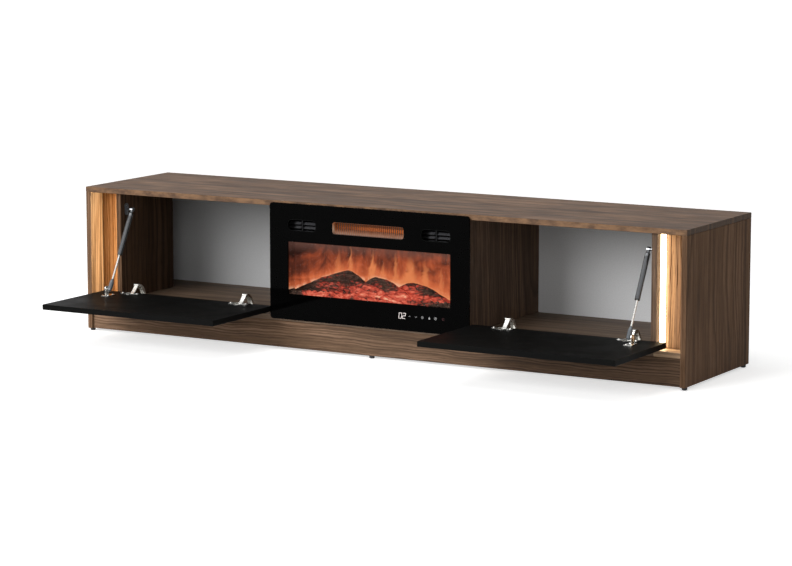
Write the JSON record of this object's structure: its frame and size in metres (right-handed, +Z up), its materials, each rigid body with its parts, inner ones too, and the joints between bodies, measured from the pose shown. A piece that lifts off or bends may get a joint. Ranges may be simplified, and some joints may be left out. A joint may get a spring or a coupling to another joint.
{
  "type": "fireplace tv stand",
  "caption": "Low walnut media cabinet with drop-down doors on cup hinges and gas struts, lit end niches and an electric fireplace insert.",
  "frame": {"origin": "on the floor, under the middle of the footprint with the doors open", "axes": "+X to the right along the cabinet seen from its front, +Y to the back, +Z up; the doors rest open as in the picture"},
  "size_m": [2, 0.7516, 0.444],
  "materials": {
    "walnut": "dark walnut veneer on board, satin",
    "niche_wood": "light veneer lit by the niche strip",
    "backboard": "grey painted hardboard",
    "black_lacquer": "black satin lacquer on board",
    "black_plastic": "black moulded plastic",
    "black_glass": "black back-painted toughened glass",
    "clear_glass": "clear toughened glass",
    "opal": "opal light cover",
    "nickel": "nickel plated steel",
    "grey_steel": "grey coated steel",
    "sheet_steel": "black coated folded sheet steel",
    "polished": "polished reflecting sheet",
    "quartz": "heating element in a quartz tube",
    "charred": "moulded and painted log and coal set",
    "flame_screen": "tinted projection screen",
    "circuit": "printed circuit board with its parts"
  },
  "bodies": {
    "root": {"top_panel": "walnut", "bottom_panel": "walnut", "front_plinth": "walnut", "rear_rail": "walnut", "left_side_panel": "walnut", "left_outer_divider": "walnut", "left_fireplace_divider": "walnut", "left_niche_back": "niche_wood", "right_side_panel": "walnut", "right_outer_divider": "walnut", "right_fireplace_divider": "walnut", "right_niche_back": "niche_wood", "back_panel": "backboard", "middle_glide": "black_plastic", "left_front_glide": "black_plastic", "left_back_glide": "black_plastic", "left_vent": "black_plastic", "left_led_profile": "grey_steel", "left_strut_wall_plate": "grey_steel", "left_led_diffuser": "opal", "left_outer_hinge_arm": "nickel", "left_inner_hinge_arm": "nickel", "right_front_glide": "black_plastic", "right_back_glide": "black_plastic", "right_vent": "black_plastic", "right_led_profile": "grey_steel", "right_strut_wall_plate": "grey_steel", "right_led_diffuser": "opal", "right_outer_hinge_arm": "nickel", "right_inner_hinge_arm": "nickel", "front_glass": "black_glass", "window_pane": "clear_glass", "insert_housing": "sheet_steel", "log_set": "charred", "flame_screen": "flame_screen", "heater_reflector": "polished", "spindle_motor": "grey_steel", "heater_guard": "grey_steel", "light_board": "circuit", "control_board": "circuit", "quartz_tube": "quartz", "blower_motor": "black_plastic"},
    "left_door": {"left_door": "black_lacquer", "left_outer_hinge_cup": "nickel", "left_inner_hinge_cup": "nickel", "left_strut_door_bracket": "nickel"},
    "left_hinge_links": {"left_outer_hinge_link": "nickel", "left_inner_hinge_link": "nickel"},
    "left_strut_rod": {"left_strut_rod": "nickel"},
    "left_strut_tube": {"left_strut_tube": "grey_steel"},
    "right_door": {"right_door": "black_lacquer", "right_outer_hinge_cup": "nickel", "right_inner_hinge_cup": "nickel", "right_strut_door_bracket": "nickel"},
    "right_hinge_links": {"right_outer_hinge_link": "nickel", "right_inner_hinge_link": "nickel"},
    "right_strut_rod": {"right_strut_rod": "nickel"},
    "right_strut_tube": {"right_strut_tube": "grey_steel"},
    "flame_spindle": {"flame_spindle": "polished"},
    "blower_wheel": {"blower_wheel": "grey_steel"}
  },
  "joints": [
    {"name": "left_door_swing", "type": "hinge", "parent": "root", "child": "left_door", "pos_m": [0, -0.0626, 0.11285], "axis": [-1, 0, 0], "range_deg": [0, 90]},
    {"name": "left_hinge_link_swing", "type": "hinge", "parent": "root", "child": "left_hinge_links", "pos_m": [0, -0.04244, 0.15026], "axis": [1, 0, 0], "range_deg": [0, 35.15]},
    {"name": "left_strut_swing", "type": "hinge", "parent": "left_door", "child": "left_strut_rod", "pos_m": [0, -0.13795, 0.148], "axis": [1, 0, 0], "range_deg": [0, 114.54]},
    {"name": "left_strut_slide", "type": "slide", "parent": "left_strut_rod", "child": "left_strut_tube", "axis": [0, -0.4708, -0.8822], "range_m": [0, 0.0704]},
    {"name": "right_door_swing", "type": "hinge", "parent": "root", "child": "right_door", "pos_m": [0, -0.0626, 0.11285], "axis": [-1, 0, 0], "range_deg": [0, 90]},
    {"name": "right_hinge_link_swing", "type": "hinge", "parent": "root", "child": "right_hinge_links", "pos_m": [0, -0.04244, 0.15026], "axis": [1, 0, 0], "range_deg": [0, 35.15]},
    {"name": "right_strut_swing", "type": "hinge", "parent": "right_door", "child": "right_strut_rod", "pos_m": [0, -0.13795, 0.148], "axis": [1, 0, 0], "range_deg": [0, 114.54]},
    {"name": "right_strut_slide", "type": "slide", "parent": "right_strut_rod", "child": "right_strut_tube", "axis": [0, -0.4708, -0.8822], "range_m": [0, 0.0704]},
    {"name": "flame_spindle_spin", "type": "hinge", "parent": "root", "child": "flame_spindle", "pos_m": [0, 0.04775, 0.201], "axis": [1, 0, 0], "continuous": true},
    {"name": "blower_wheel_spin", "type": "hinge", "parent": "root", "child": "blower_wheel", "pos_m": [0, 0.03575, 0.3815], "axis": [1, 0, 0], "continuous": true}
  ],
  "couplings": [
    {"joint": "left_hinge_link_swing", "follows": "left_door_swing", "ratio": 0.39057},
    {"joint": "left_strut_swing", "follows": "left_door_swing", "ratio": 1.2727},
    {"joint": "left_strut_slide", "follows": "left_door_swing", "m_per_rad": 0.04482},
    {"joint": "right_hinge_link_swing", "follows": "right_door_swing", "ratio": 0.39057},
    {"joint": "right_strut_swing", "follows": "right_door_swing", "ratio": 1.2727},
    {"joint": "right_strut_slide", "follows": "right_door_swing", "m_per_rad": 0.04482}
  ]
}
